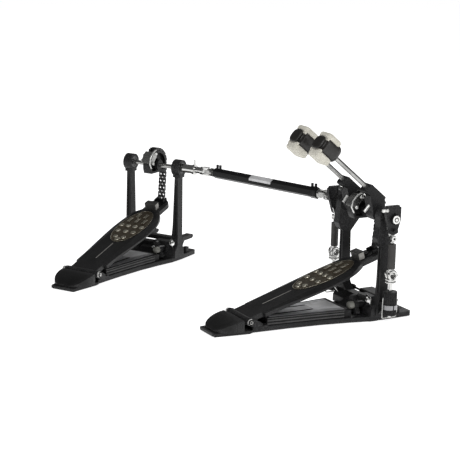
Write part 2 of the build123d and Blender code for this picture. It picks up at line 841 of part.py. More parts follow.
def coil_spring():
    """Tension spring inside the cover: a coil body, and the hook that reaches the eye below."""
    with BuildPart() as coil:
        with BuildSketch(Plane.XY.offset(COVER_Z0 + 1)):
            with Locations((SPRING_X, 0)):
                Circle(4.8)
                Circle(3.2, mode=Mode.SUBTRACT)
        extrude(amount=COVER_Z1 - 3 - COVER_Z0)
        with BuildSketch(Plane.XY.offset(EYE_Z + 6.2)):
            with Locations((SPRING_X, 4.0)):
                Circle(0.8)
        extrude(amount=COVER_Z0 + 1 - EYE_Z - 6.2)
    return coil.part


def tension_rod():
    """Threaded rod through the frame's lug, with a flange nut and the eye that takes the spring."""
    with BuildPart() as rod:
        with BuildSketch(Plane.XY.offset(17.6)):
            with Locations((SPRING_X, 0)):
                Circle(3.05)
        extrude(amount=58)
        with BuildSketch(Plane.XY.offset(74)):
            with Locations((SPRING_X, 0)):
                RegularPolygon(7.2, 6)
        extrude(amount=6)
        with BuildSketch(Plane.YZ.offset(SPRING_X - 2.2)):
            with Locations((0, EYE_Z)):
                Circle(6)
            with Locations((0, 81)):
                Rectangle(9, 4)
            with Locations((0, EYE_Z)):
                Circle(3.2, mode=Mode.SUBTRACT)
        extrude(amount=4.4)
    return rod.part


def knurled(z0, z1, radius):
    """One knurled nut on the tension rod."""
    with BuildPart() as nut:
        with BuildSketch(Plane.XY.offset(z0)):
            with Locations((SPRING_X, 0)):
                Circle(radius)
                Circle(3.1, mode=Mode.SUBTRACT)
                with PolarLocations(radius + 0.2, 24):
                    Rectangle(1.6, 1.5, mode=Mode.SUBTRACT)
        extrude(amount=z1 - z0)
    return nut.part


def tension_nuts():
    upper = knurled(LUG_Z1, 61, 11.4)
    lower = knurled(21.5, LUG_Z0, 11.4)
    return Compound(children=[*upper.solids(), *lower.solids()])


def wire_clip():
    """Bent wire that keeps the tension nuts from turning, with a ball on its end."""
    with BuildPart() as clip:
        with BuildLine() as path:
            FilletPolyline(
                (SPRING_X, -13.4, 51), (SPRING_X, -14.2, 16.6), (SPRING_X, 12.2, 16.6),
                (SPRING_X, 14.4, 28), (SPRING_X, 14.4, 43), radius=2.5,
            )
        with BuildSketch(Plane(origin=path.line @ 0, z_dir=path.line % 0)):
            Circle(1.0)
        sweep()
        with Locations((SPRING_X, 14.4, 44)):
            Sphere(2.3)
    return clip.part


# ---------------------------------------------------------------- hoop clamp and floor spurs
def clamp_jaw(half_width, reach, pivot_z):
    """Upper jaw: a plate hinged on the front of the frame that closes on the drum's hoop."""
    with BuildPart() as jaw:
        with BuildSketch(Plane.YZ.offset(-half_width)):
            with Locations((JAW_PIVOT_Y, pivot_z)):
                Circle(4.0)
            Polygon(
                (JAW_PIVOT_Y, pivot_z - 3.9), (reach - 4, pivot_z - 3.9),
                (reach, pivot_z - 1), (reach, pivot_z + 2),
                (reach - 3, pivot_z + 3.9), (JAW_PIVOT_Y, pivot_z + 3.9), align=None,
            )
            with Locations((JAW_PIVOT_Y, pivot_z)):
                Circle(JAW_PIN_R + RUN, mode=Mode.SUBTRACT)
        extrude(amount=2 * half_width)
        # the middle is cut back, which leaves an arm at each side
        if half_width > 40:
            with BuildSketch(Plane.XY.offset(pivot_z - 10)):
                with Locations((0, JAW_PIVOT_Y + 34)):
                    RectangleRounded(66, 42, 6)
            extrude(amount=20, mode=Mode.SUBTRACT)
    return jaw.part


def wing_screw():
    """Wing screw that works the clamp: a moulded wing on a stem along Y."""
    with BuildPart() as screw:
        with BuildSketch(Plane.XZ.offset(28)):
            with Locations((WING_X, WING_Z)):
                SlotOverall(34, 8.6, rotation=-62)
                Circle(7)
        extrude(amount=8)
        with BuildSketch(Plane.XZ.offset(18)):
            with Locations((WING_X, WING_Z)):
                Circle(5.4)
        extrude(amount=10)
        with BuildSketch(Plane.XZ.offset(-12)):
            with Locations((WING_X, WING_Z)):
                Circle(WING_STEM_R)
        extrude(amount=30)
    return screw.part


def spur_plane(side):
    """Plane across a floor spur at its head, looking down along it."""
    return Plane(origin=(side * 53, -19, 40), z_dir=(-side * 0.19, 0.56, -0.81))


def spurs():
    """Pointed floor screws with thumb heads, leaning forwards through the foot of each post."""
    points = []
    for side in (-1, 1):
        head = spur_plane(side)
        with BuildPart() as point:
            with BuildSketch(head):
                Circle(SPUR_R)
            extrude(amount=33)
            with BuildSketch(head.offset(-4)):
                Circle(4.6)
            extrude(amount=7)
            with BuildSketch(head.offset(-9)):
                Circle(2.6)
            extrude(amount=5.5)
        points.append(point.part.solid())
    return Compound(children=points)


# ---------------------------------------------------------------- drive shaft
MAIN_JOINT = Vector(MAIN_JOINT_X, 0, AXLE_Z)
SLAVE_JOINT = Vector(
    SLAVE_X + SLAVE_JOINT_X * cos(radians(SLAVE_YAW)),
    SLAVE_Y + SLAVE_JOINT_X * sin(radians(SLAVE_YAW)),
    AXLE_Z,
)
SHAFT_LENGTH = hypot(MAIN_JOINT.X - SLAVE_JOINT.X, MAIN_JOINT.Y - SLAVE_JOINT.Y)
SHAFT_YAW = degrees(atan2(MAIN_JOINT.Y - SLAVE_JOINT.Y, MAIN_JOINT.X - SLAVE_JOINT.X))
SHAFT_DIR = Vector(cos(radians(SHAFT_YAW)), sin(radians(SHAFT_YAW)), 0)


def shaft_plane(along):
    """Plane square to the drive shaft, its origin on the shaft's axis."""
    return Plane(origin=SLAVE_JOINT + SHAFT_DIR * along, x_dir=(0, 0, 1), z_dir=SHAFT_DIR)


def drive_sleeve():
    """Six-sided sleeve with a collar, bored for the rod at each end."""
    with BuildPart() as sleeve:
        with BuildSketch(shaft_plane(19)):
            RegularPolygon(SLEEVE_R + 1, 6)
        extrude(amount=SHAFT_LENGTH - 36)
        with BuildSketch(shaft_plane(SHAFT_LENGTH - 32)):
            RegularPolygon(SLEEVE_R + 2.2, 6)
        extrude(amount=15)
        with BuildSketch(shaft_plane(19)):
            Circle(DRIVE_ROD_R)
        extrude(amount=SHAFT_LENGTH - 36, mode=Mode.SUBTRACT)
        # two key bolts near each end, on top
        for along in (24, 31, SHAFT_LENGTH - 30, SHAFT_LENGTH - 22):
            spot = shaft_plane(along).origin + Vector(0, 0, SLEEVE_R - 2)
            with BuildSketch(Plane(origin=spot, x_dir=SHAFT_DIR, z_dir=(0, 0, 1))):
                Circle(2.3)
            extrude(amount=5)
            with BuildSketch(Plane(origin=spot + Vector(0, 0, 5), x_dir=SHAFT_DIR, z_dir=(0, 0, 1))):
                Rectangle(3.4, 3.4)
            extrude(amount=4.5)
    return sleeve.part


CHEEK_IN = 4.9
CHEEK_OUT = 7.7
CHEEK_R = 3.8
CROSS_PIN_R = 1.9


def fork(origin, heading, across, stem_radius, stem, pinned):
    """Half of a universal joint: two cheeks beside the cross, on a stem away from it."""
    with BuildPart() as yoke:
        for sign in (-1, 1):
            with BuildSketch(
                Plane(origin=origin + across * (CHEEK_IN * sign), x_dir=heading, z_dir=across * sign)
            ):
                Circle(CHEEK_R)
                with Locations((5, 0)):
                    Rectangle(10, 2 * CHEEK_R)
                if not pinned:
                    Circle(CROSS_PIN_R, mode=Mode.SUBTRACT)
            extrude(amount=CHEEK_OUT - CHEEK_IN)
            if pinned:
                with BuildSketch(
                    Plane(origin=origin + across * (CHEEK_OUT * sign), z_dir=across * sign)
                ):
                    Circle(2.4)
                extrude(amount=0.9)
        with BuildSketch(Plane(origin=origin + heading * 8.5, x_dir=across, z_dir=heading)):
            Circle(CHEEK_OUT)
        extrude(amount=6)
        with BuildSketch(Plane(origin=origin + heading * 14, x_dir=across, z_dir=heading)):
            Circle(stem_radius)
        extrude(amount=stem)
    return yoke.part


def joint_cross(origin, across):
    """Ball cross of a universal joint, its pins in the drive shaft's own fork."""
    with BuildPart() as cross:
        with Locations(origin):
            Sphere(4.3)
        with BuildSketch(Plane(origin=origin - across * 8.3, z_dir=across)):
            Circle(CROSS_PIN_R)
        extrude(amount=16.6)
    return cross.part


def coupler():
    """Bright clamp sleeve on the slave axle's end, up to its half of the universal joint."""
    start = POST_X + HEAD_HALF_X + 1
    with BuildPart() as body:
        add(fork(Vector(SLAVE_JOINT_X, 0, AXLE_Z), Vector(-1, 0, 0), Vector(0, 0, 1), 6.2, 14, True))
        with BuildSketch(Plane.YZ.offset(start)):
            with Locations((0, AXLE_Z)):
                Circle(8.2)
        extrude(amount=86.5 - start)
        with BuildSketch(Plane.YZ.offset(86.5)):
            with Locations((0, AXLE_Z)):
                Circle(9.6)
        extrude(amount=4.5)
        with BuildSketch(Plane.YZ.offset(start)):
            with Locations((0, AXLE_Z)):
                Circle(AXLE_R)
        extrude(amount=91 - start, mode=Mode.SUBTRACT)
        # key bolt
        with BuildSketch(Plane.XY.offset(AXLE_Z + 9)):
            with Locations((88.8, 0)):
                Circle(1.9)
        extrude(amount=4)
        with BuildSketch(Plane.XY.offset(AXLE_Z + 13)):
            with Locations((88.8, 0)):
                Rectangle(3.4, 3.4)
        extrude(amount=5)
    return body.part


def left_yoke():
    """Half of the universal joint on the left axle's outer end."""
    with BuildPart() as yoke:
        add(fork(MAIN_JOINT, Vector(1, 0, 0), Vector(0, 0, 1), 6.2, 11, True))
        with BuildSketch(Plane.YZ.offset(MAIN_JOINT_X + 25)):
            with Locations((0, AXLE_Z)):
                Circle(AXLE_R)
        extrude(amount=-9, mode=Mode.SUBTRACT)
    return yoke.part


def drive_rods():
    """The drive shaft's rod and fork at each end."""
    across = Vector(-SHAFT_DIR.Y, SHAFT_DIR.X, 0)
    near = fork(SLAVE_JOINT, SHAFT_DIR, across, DRIVE_ROD_R, 45, False)
    far = fork(MAIN_JOINT, SHAFT_DIR * -1, across, DRIVE_ROD_R, 45, False)
    return Compound(children=[*near.solids(), *far.solids()])


def joint_crosses():
    across = Vector(-SHAFT_DIR.Y, SHAFT_DIR.X, 0)
    near = joint_cross(SLAVE_JOINT, across)
    far = joint_cross(MAIN_JOINT, across)
    return Compound(children=[*near.solids(), *far.solids()])


# ---------------------------------------------------------------- write every piece
save(base_plate(), "main_base_plate")
save(base_plate(), "slave_base_plate", SLAVE_PLACE)
save(both_units(base_inlay()), "base_inlays")
save(both_units(hinge_pin()), "hinge_pins")
save(both_units(heel_base()), "heel_bases")
save(both_units(heel_plate()), "heel_plates")
save(both_units(rubber_pads()), "rubber_pads")
save(both_units(spurs()), "spur_screws")
save(post_frame(wide_head, narrow_head, MAIN_JAW_Z, WIDER, True), "main_frame")
save(post_frame(round_head, round_head, SLAVE_JAW_Z, 0.0, False), "slave_frame", SLAVE_PLACE)
slave_bearings = bearing_pair(0.0).moved(SLAVE_PLACE)
save(Compound(children=[*bearing_pair(WIDER).solids(), *slave_bearings.solids()]), "bearings")
for unit, place in (("main", None), ("slave", SLAVE_PLACE)):
    save(footboard(), f"{unit}_footboard", place)
    save(grip_inlay(), f"{unit}_grip_inlay", place)
    save(toe_stop(), f"{unit}_toe_stop", place)
    save(chain_clamp(), f"{unit}_chain_clamp", place)
    save(chain_run(), f"{unit}_chain_run", place)
    save(chain_wrap(), f"{unit}_chain_wrap", place)
    save(cam(), f"{unit}_cam", place)
    save(cam_clamp(), f"{unit}_cam_clamp", place)
    save(wing_screw(), f"{unit}_wing_screw", place)
save(clamp_jaw(26, 44, MAIN_JAW_Z), "main_clamp_jaw")
save(clamp_jaw(46, 68, SLAVE_JAW_Z), "slave_clamp_jaw", SLAVE_PLACE)

save(axle(-16, LEVER_X1, pilot_length=8), "main_axle")
save(axle(-105, -18, pilot_bore=9), "left_axle")
save(axle(-64, 91), "slave_axle", SLAVE_PLACE)
save(coupler(), "slave_coupler", SLAVE_PLACE)
save(left_yoke(), "left_joint_yoke")
save(drive_sleeve(), "drive_sleeve")
save(drive_rods(), "drive_rods")
save(joint_crosses(), "joint_crosses")

for side, turned in (("right", lambda shape: shape), ("left", mirrored)):
    save(turned(beater_hub()), f"{side}_beater_hub")
    save(turned(beater_rod()), f"{side}_beater_rod")
    save(turned(beater_core()), f"{side}_beater_core")
    save(turned(beater_felts()), f"{side}_beater_felts")
    save(turned(spring_lever()), f"{side}_spring_lever")
    save(turned(lever_bolt(side == "right")), f"{side}_lever_bolt")
    save(turned(spring_clevis()), f"{side}_spring_clevis")
    save(turned(spring_cover()), f"{side}_spring_cover")
    save(turned(coil_spring()), f"{side}_spring")
for name, piece in (
    ("tension_rods", tension_rod()), ("tension_nuts", tension_nuts()), ("wire_clips", wire_clip())
):
    save(Compound(children=[*piece.solids(), *mirrored(piece).solids()]), name)
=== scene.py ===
"""Double bass drum pedal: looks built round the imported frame. Metres, +Z up, +Y towards the drum.

Lengths written in this script are millimetres in a pedal's own axes, whose origin is on the floor
under the middle of its axle, unless a comment says metres. mm() and at() turn them into metres.
"""

import json
import math

import bmesh
import bpy
from mathutils import Matrix, Vector


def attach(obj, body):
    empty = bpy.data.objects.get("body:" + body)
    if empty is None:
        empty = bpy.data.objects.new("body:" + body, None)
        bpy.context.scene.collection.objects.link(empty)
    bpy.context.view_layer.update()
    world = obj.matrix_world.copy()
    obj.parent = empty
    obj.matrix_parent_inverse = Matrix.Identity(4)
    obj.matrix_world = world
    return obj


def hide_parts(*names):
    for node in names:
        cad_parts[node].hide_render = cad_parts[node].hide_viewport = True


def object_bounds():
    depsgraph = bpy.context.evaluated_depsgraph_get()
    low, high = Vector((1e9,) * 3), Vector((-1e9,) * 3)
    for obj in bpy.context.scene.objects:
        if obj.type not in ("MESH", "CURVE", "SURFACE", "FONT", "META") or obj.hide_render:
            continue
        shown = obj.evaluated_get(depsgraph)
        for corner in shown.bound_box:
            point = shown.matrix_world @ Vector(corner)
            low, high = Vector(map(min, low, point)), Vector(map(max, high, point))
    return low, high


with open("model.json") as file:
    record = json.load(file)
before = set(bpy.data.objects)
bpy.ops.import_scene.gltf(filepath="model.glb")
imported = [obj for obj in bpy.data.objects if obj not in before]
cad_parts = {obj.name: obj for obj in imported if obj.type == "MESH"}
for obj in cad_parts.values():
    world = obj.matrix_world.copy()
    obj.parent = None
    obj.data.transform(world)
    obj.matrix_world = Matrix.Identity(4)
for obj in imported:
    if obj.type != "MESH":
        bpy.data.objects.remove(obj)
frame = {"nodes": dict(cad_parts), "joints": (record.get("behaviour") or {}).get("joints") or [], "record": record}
cad_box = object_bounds()
nodes = frame["nodes"]
joints = {joint["name"]: joint for joint in frame["joints"]}
scene = bpy.context.scene

MM = 0.001
UP = Vector((0, 0, 1))
RIGHT = Vector((1, 0, 0))
MIRROR = Matrix.Scale(-1, 4, RIGHT)
TURN_TO_X = Matrix.Rotation(math.radians(90), 4, "Y")  # local z comes to point along x

AXLE_Z = joints["main_axle_turn"]["pos_m"][2] / MM
SPRING_X = 87
LEVER_PIN_Z = 163
HINGE_Y = -232
SHARP_ANGLE = math.radians(35)
WELD = 1e-7  # metres


# ---------------------------------------------------------------- places
def unit_matrix(joint_name):
    """From a pedal's own axes to the row's: the axle's direction and the point below its middle."""
    joint = joints[joint_name]
    x_axis = Vector(joint["axis"])
    yaw = math.atan2(x_axis.y, x_axis.x)
    x, y, _ = joint["pos_m"]
    return Matrix.Translation((x, y, 0)) @ Matrix.Rotation(yaw, 4, "Z")


UNITS = {"main": unit_matrix("main_axle_turn"), "slave": unit_matrix("slave_axle_turn")}


def mm(x, y, z):
    """Point in metres."""
    return Vector((x, y, z)) * MM


def at(x, y, z):
    """Matrix that stands at a point, turned as the pedal's own axes."""
    return Matrix.Translation(mm(x, y, z))


def along_x(x, y, z):
    """Matrix that stands at a point, with its local z pointing out to the right."""
    return at(x, y, z) @ TURN_TO_X


def basis(origin, ex, ey):
    """Matrix whose local x and y run along ex and ey from an origin in metres."""
    ex = Vector(ex).normalized()
    ez = ex.cross(Vector(ey)).normalized()
    ey = ez.cross(ex)
    return Matrix.Translation(origin) @ Matrix((ex, ey, ez)).transposed().to_4x4()


# ---------------------------------------------------------------- materials
# Noise scales are counted per metre; bump heights and edge radii are metres.
def principled(name, colour, metallic, roughness):
    """New material and its shader."""
    material = bpy.data.materials.new(name)
    material.use_nodes = True
    shader = material.node_tree.nodes["Principled BSDF"]
    shader.inputs["Base Color"].default_value = (*colour, 1)
    shader.inputs["Metallic"].default_value = metallic
    shader.inputs["Roughness"].default_value = roughness
    return material, shader


def noise(material, scale, detail=3.0, stretch=(1, 1, 1)):
    """Noise in the object's own space."""
    tree = material.node_tree
    place = tree.nodes.new("ShaderNodeTexCoord")
    mapping = tree.nodes.new("ShaderNodeMapping")
    mapping.inputs["Scale"].default_value = stretch
    texture = tree.nodes.new("ShaderNodeTexNoise")
    texture.inputs["Scale"].default_value = scale
    texture.inputs["Detail"].default_value = detail
    tree.links.new(place.outputs["Object"], mapping.inputs["Vector"])
    tree.links.new(mapping.outputs["Vector"], texture.inputs["Vector"])
    return texture.outputs["Fac"]


def spread(material, value, low, high, start=0.3, end=0.7):
    """Map a value from start to end onto low to high."""
    tree = material.node_tree
    ranged = tree.nodes.new("ShaderNodeMapRange")
    ranged.inputs["From Min"].default_value = start
    ranged.inputs["From Max"].default_value = end
    ranged.inputs["To Min"].default_value = low
    ranged.inputs["To Max"].default_value = high
    tree.links.new(value, ranged.inputs["Value"])
    return ranged.outputs["Result"]


def tint(material, value, dark, light):
    """Colour between dark and light."""
    tree = material.node_tree
    mix = tree.nodes.new("ShaderNodeMix")
    mix.data_type = "RGBA"
    mix.inputs["A"].default_value = (*dark, 1)
    mix.inputs["B"].default_value = (*light, 1)
    tree.links.new(value, mix.inputs["Factor"])
    return mix.outputs["Result"]


def vary_roughness(material, shader, value, low, high):
    """Let the gloss drift between two values of roughness."""
    material.node_tree.links.new(
        spread(material, value, low, high), shader.inputs["Roughness"]
    )


def bump(material, shader, value, height, edge=0.0):
    """Raise the surface by up to height, over edges softened by the edge radius."""
    tree = material.node_tree
    relief = tree.nodes.new("ShaderNodeBump")
    relief.inputs["Distance"].default_value = height
    relief.inputs["Strength"].default_value = 1.0
    tree.links.new(value, relief.inputs["Height"])
    if edge:
        soft = tree.nodes.new("ShaderNodeBevel")
        soft.samples = 4
        soft.inputs["Radius"].default_value = edge
        tree.links.new(soft.outputs["Normal"], relief.inputs["Normal"])
    tree.links.new(relief.outputs["Normal"], shader.inputs["Normal"])


def grained(name, colour, metallic, rough, grain, height, edge=0.0004, stretch=(1, 1, 1)):
    """Surface with fine grain, broad colour drift and smudged gloss."""
    drift = 0.25
    material, shader = principled(name, colour, metallic, rough)
    broad = noise(material, scale=38, detail=4)
    dark = tuple(c * (1 - drift) for c in colour)
    light = tuple(min(1, c * (1 + drift)) for c in colour)
    material.node_tree.links.new(
        tint(material, spread(material, broad, 0, 1), dark, light), shader.inputs["Base Color"]
    )
    smudge = noise(material, scale=150, detail=5, stretch=stretch)
    vary_roughness(material, shader, smudge, max(0.03, rough * 0.8), min(1, rough * 1.25))
    bump(material, shader, noise(material, grain, 2, stretch), height, edge)
    return material


def worn_paint(name, colour, rough, coat=0.0):
    """Satin powder coat whose edges are rubbed a little lighter."""
    material, shader = principled(name, colour, 0.0, rough)
    tree = material.node_tree
    links = tree.links
    shape = tree.nodes.new("ShaderNodeNewGeometry")
    edge = spread(material, shape.outputs["Pointiness"], 0, 1, start=0.52, end=0.62)
    speckle = spread(material, noise(material, scale=900, detail=4), 0, 1, start=0.45, end=0.7)
    rub = tree.nodes.new("ShaderNodeMath")
    rub.operation = "MULTIPLY"
    links.new(edge, rub.inputs[0])
    links.new(speckle, rub.inputs[1])
    broad = spread(material, noise(material, scale=30, detail=4), 0, 1)
    base = tint(material, broad, tuple(c * 0.8 for c in colour), tuple(c * 1.25 for c in colour))
    worn = tree.nodes.new("ShaderNodeMix")
    worn.data_type = "RGBA"
    worn.inputs["B"].default_value = (0.06, 0.06, 0.062, 1)
    links.new(rub.outputs[0], worn.inputs["Factor"])
    links.new(base, worn.inputs["A"])
    links.new(worn.outputs["Result"], shader.inputs["Base Color"])
    smudge = noise(material, scale=210, detail=5)
    vary_roughness(material, shader, smudge, rough * 0.82, min(1, rough * 1.2))
    shader.inputs["Specular IOR Level"].default_value = 0.15
    shader.inputs["Coat Weight"].default_value = coat
    shader.inputs["Coat Roughness"].default_value = 0.25
    bump(material, shader, noise(material, scale=1700, detail=2), height=0.00006, edge=0.0005)
    return material


def plated(name, colour, rough):
    """Bright plating with smudged gloss."""
    material, shader = principled(name, colour, 1.0, rough)
    smudge = noise(material, scale=260, detail=6)
    vary_roughness(material, shader, smudge, rough * 0.6, rough * 1.8)
    bump(material, shader, noise(material, scale=420, detail=4), height=0.00002, edge=0.0004)
    return material


def felt_material():
    """Matted pale fibres."""
    material, shader = principled("felt", (0.58, 0.56, 0.49), 0.0, 0.95)
    fibres = noise(material, scale=900, detail=6, stretch=(1, 0.35, 1))
    tufts = noise(material, scale=190, detail=5)
    material.node_tree.links.new(
        tint(material, spread(material, tufts, 0, 1), (0.52, 0.50, 0.43), (0.62, 0.60, 0.53)),
        shader.inputs["Base Color"],
    )
    shader.inputs["Sheen Weight"].default_value = 0.15
    shader.inputs["Sheen Roughness"].default_value = 0.6
    bump(material, shader, fibres, height=0.0003)
    return material


PAINTS = {  # colour, roughness, clear coat
    "black_cast": ((0.0068, 0.0068, 0.0071), 0.40),
    "board_black": ((0.0080, 0.0080, 0.0081), 0.36, 0.12),
    "heel_black": ((0.0080, 0.0080, 0.0081), 0.40, 0.08),
    "shaft_black": ((0.0060, 0.0060, 0.0063), 0.34),
    "nut_black": ((0.0050, 0.0050, 0.0050), 0.45),
}
GRAINED = {  # colour, metallic, roughness, grain, its height, and the edge and stretch if not plain
    "dark_plastic": ((0.0105, 0.0095, 0.0085), 0, 0.42, 900, 0.00005),
    "stop_face": ((0.020, 0.019, 0.018), 0, 0.5, 700, 0.0001),
    "rubber": ((0.010, 0.010, 0.010), 0, 0.75, 800, 0.0001),
    "cover": ((0.030, 0.028, 0.026), 0, 0.55, 900, 0.00008),
    "grip": ((0.055, 0.044, 0.028), 0.35, 0.42, 1300, 0.00008, 0.0, (1, 0.2, 1)),
    "light_sheet": ((0.30, 0.30, 0.31), 0.6, 0.4, 1500, 0.00004),
    "chain_steel": ((0.05, 0.05, 0.05), 0.9, 0.38, 1200, 0.00004, 0.0001),
    "steel": ((0.40, 0.40, 0.39), 1, 0.28, 1500, 0.00003, 0.0003, (1, 6, 6)),
    "bearing": ((0.10, 0.10, 0.10), 1, 0.33, 1500, 0.00003, 0.0003),
    "label": ((0.60, 0.60, 0.61), 0.2, 0.4, 900, 0.00002),
    "bright_steel": ((0.80, 0.80, 0.78), 0.5, 0.32, 1400, 0.00003, 0.0003),
    # next entry: grey painted highlight for the base's rib faces
    "rib_grey": ((0.050, 0.050, 0.050), 0, 0.5, 900, 0.00005),
    # next entry: near-black painted shade for grooves, slots and recesses
    "shade": ((0.0018, 0.0018, 0.0018), 0, 0.85, 900, 0.00005),
    "knob_grey": ((0.15, 0.15, 0.135), 0.1, 0.45, 900, 0.00005),
    "groove": ((0.34, 0.33, 0.31), 0.2, 0.45, 900, 0.00002),
}
PLATED = {  # colour, roughness
    "chrome": ((0.56, 0.56, 0.55), 0.14),
    "stud": ((0.58, 0.55, 0.46), 0.30),
}
MATERIALS = {"felt": felt_material()}
for make_material, table in ((worn_paint, PAINTS), (grained, GRAINED), (plated, PLATED)):
    for name, values in table.items():
        MATERIALS[name] = make_material(name, *values)


# ---------------------------------------------------------------- mesh helpers
def make_piece(name, body, slot, fill, *args, look=None, place=None, replaces=()):
    """One piece from a function that fills a bmesh, moved by a matrix if place has one.

    It is coloured by its slot's finish, or by another finish that look names.
    """
    mesh = bpy.data.meshes.new(name)
    work = bmesh.new()
    fill(work, *args)
    if place:
        bmesh.ops.transform(work, matrix=place, verts=work.verts)
    bmesh.ops.recalc_face_normals(work, faces=work.faces)
    work.to_mesh(mesh)
    work.free()
    piece = bpy.data.objects.new(name, mesh)
    scene.collection.objects.link(piece)
    mesh.materials.append(MATERIALS[look or slot])
    mesh.shade_smooth()
    mesh.set_sharp_from_angle(angle=SHARP_ANGLE)
    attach(piece, body)
    if replaces:
        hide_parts(*replaces)


def loft(work, rings, closed_ends=True):
    """Skin a list of equal rings of points with quads, and cap both ends."""
    rows = [[work.verts.new(point) for point in ring] for ring in rings]
    for row, following in zip(rows, rows[1:]):
        for i, corner in enumerate(row):
            j = (i + 1) % len(row)
            work.faces.new((corner, row[j], following[j], following[i]))
    if closed_ends:
        work.faces.new(rows[0][::-1])
        work.faces.new(rows[-1])


def turns(count, phase=0.0):
    """Angles that share a full turn equally."""
    return [2 * math.pi * (i + phase) / count for i in range(count)]


def turned(work, matrix, profile, count=24, phase=0.0):
    """Turned solid: profile is a list of (radius, height) pairs along the matrix's local z."""
    loft(work, [
        [
            matrix @ mm(radius * math.cos(turn), radius * math.sin(turn), height)
            for turn in turns(count, phase)
        ]
        for radius, height in profile
    ])


def slab(work, outline, low, high):
    """Flat plate between two values of x, with an outline of (y, z) pairs."""
    loft(work, [[mm(x, y, z) for y, z in outline] for x in (low, high)])


def squared_ring(matrix, half_x, half_y, power):
    """Ring in the matrix's local xy plane, squarer than an ellipse as the power goes below 1."""
    ring = []
    for turn in turns(48):
        cosine, sine = math.cos(turn), math.sin(turn)
        x = half_x * math.copysign(abs(cosine) ** power, cosine)
        y = half_y * math.copysign(abs(sine) ** power, sine)
        ring.append(matrix @ mm(x, y, 0))
    return ring


def stadium(matrix, centre, half_length, half_width, height):
    """Outline of a slot that lies along local y."""
    points = []
    straight = half_length - half_width
    for sign, start in ((1, 0), (-1, math.pi)):
        for step in range(9):
            turn = start + math.pi * step / 8
            x = centre[0] + half_width * math.cos(turn)
            y = centre[1] + sign * straight + half_width * math.sin(turn)
            points.append(matrix @ mm(x, y, height))
    return points


def rounded_block(work, matrix, half, low, high, roll):
    """Block from low to high along local z, half wide each way, with every edge rolled over."""
    corner = roll * 1.6

    def ring(inset, height):
        points = []
        for quarter, (sign_x, sign_y) in enumerate(((1, 1), (-1, 1), (-1, -1), (1, -1))):
            for step in range(9):
                turn = math.pi / 2 * (quarter + step / 8)
                x = sign_x * (half[0] - corner) + (corner - inset) * math.cos(turn)
                y = sign_y * (half[1] - corner) + (corner - inset) * math.sin(turn)
                points.append(matrix @ mm(x, y, height))
        return points

    bends = [math.radians(15 * step) for step in range(7)]
    rings = [ring(roll * (1 - math.sin(t)), low + roll * (1 - math.cos(t))) for t in bends]
    rings += [ring(roll * (1 - math.cos(t)), high - roll * (1 - math.sin(t))) for t in bends]
    loft(work, rings)


def wire(work, points, radius, count=10):
    """Round bar through points in metres."""
    rings = []
    for index, point in enumerate(points):
        before = points[max(index - 1, 0)]
        after = points[min(index + 1, len(points) - 1)]
        run = (after - before).normalized()
        side_way = run.cross(RIGHT).normalized()
        up_way = run.cross(side_way)
        rings.append([
            point + (side_way * math.cos(turn) + up_way * math.sin(turn)) * radius * MM
            for turn in turns(count)
        ])
    loft(work, rings)


def key_bolt(work, matrix, size=1.0):
    """Square-headed drum key bolt standing on the matrix's origin, along its z."""
    collar = [(3.6, 0), (3.8, 0.3), (3.8, 2.0), (3.2, 2.6)]
    head = [(3.0, 2.2), (3.0, 7.4), (2.5, 8.0)]
    turned(work, matrix, [(radius * size, height * size) for radius, height in collar])
    turned(work, matrix, [(radius * size, height * size) for radius, height in head], 4, 0.5)


# ---------------------------------------------------------------- beaters
BEATER_X = 35
BEATER_LEAN = math.radians(50)
STRIKE = Vector((0, math.cos(BEATER_LEAN), math.sin(BEATER_LEAN)))  # the way the beater hits
CLIMB = Vector((0, -math.sin(BEATER_LEAN), math.cos(BEATER_LEAN)))  # up the beater's rod
ROD_OFFSET = 21  # from the axle's centre to the rod's
HEAD_ALONG = 151  # from the axle up to the middle of the head
CORE_WIDENING = 1.04  # the core's width over its thickness
CORE_SQUARENESS = 0.75
NECK_ALONG = 12.5
BARREL_ACROSS, CAP_ACROSS = 2.0, 0.6  # how far barrel and cap stand before the rod
CORE_PROFILE = [  # half thickness, place along the rod
    (5.2, -23), (9.8, -22.4), (13.2, -20.4), (15.3, -17.2), (16.1, -13), (16.2, -7),
    (16.2, 10.6), (15.9, 11.4), (14.0, 12.0), (11.4, 12.7), (10.5, 13.6), (10.6, 14.6),
    (11.1, 15.6), (11.8, 16.6), (12.3, 17.5), (12.2, 18.4), (11.2, 19.3), (8.8, 19.9),
    (5.2, 20.2), (0.4, 20.3),
]
FELT_BLOCKS = [  # place along the rod, half width and height, rear and front face, rolled edge
    (2.5, (16.0, 15.2), 11.2, 22.0, 4.2),
    (-0.5, (16.0, 15.2), -23.2, -11.2, 4.2),
    (12.9, (15.4, 1.8), 8.6, 16.6, 1.4),
    (12.9, (15.4, 1.8), -14.8, -8.6, 1.4),
]


def rod_basis(side_x, along, across=0.0):
    """Local z up the beater rod, local x to the right, local y towards the strike."""
    origin = mm(side_x, 0, AXLE_Z) + (STRIKE * (ROD_OFFSET + across) + CLIMB * along) * MM
    return basis(origin, RIGHT, STRIKE)


def felts(work, side_x):
    """Thick felt pads before and behind the core, each with a rib in the core's waist."""
    face_strike = Matrix.Rotation(math.radians(-90), 4, "X")
    for along, half, low, high, roll in FELT_BLOCKS:
        centre = rod_basis(side_x, HEAD_ALONG + along)
        rounded_block(work, centre @ face_strike, half, low, high, roll)


def core(work, side_x):
    """Moulded core: barrel, waist and rounded cap, in rounded square sections."""
    rings = []
    for half, along in CORE_PROFILE:
        across = BARREL_ACROSS if along < NECK_ALONG else CAP_ACROSS
        centre = rod_basis(side_x, HEAD_ALONG + along, across)
        rings.append(squared_ring(centre, CORE_WIDENING * half, half, CORE_SQUARENESS))
    loft(work, rings)


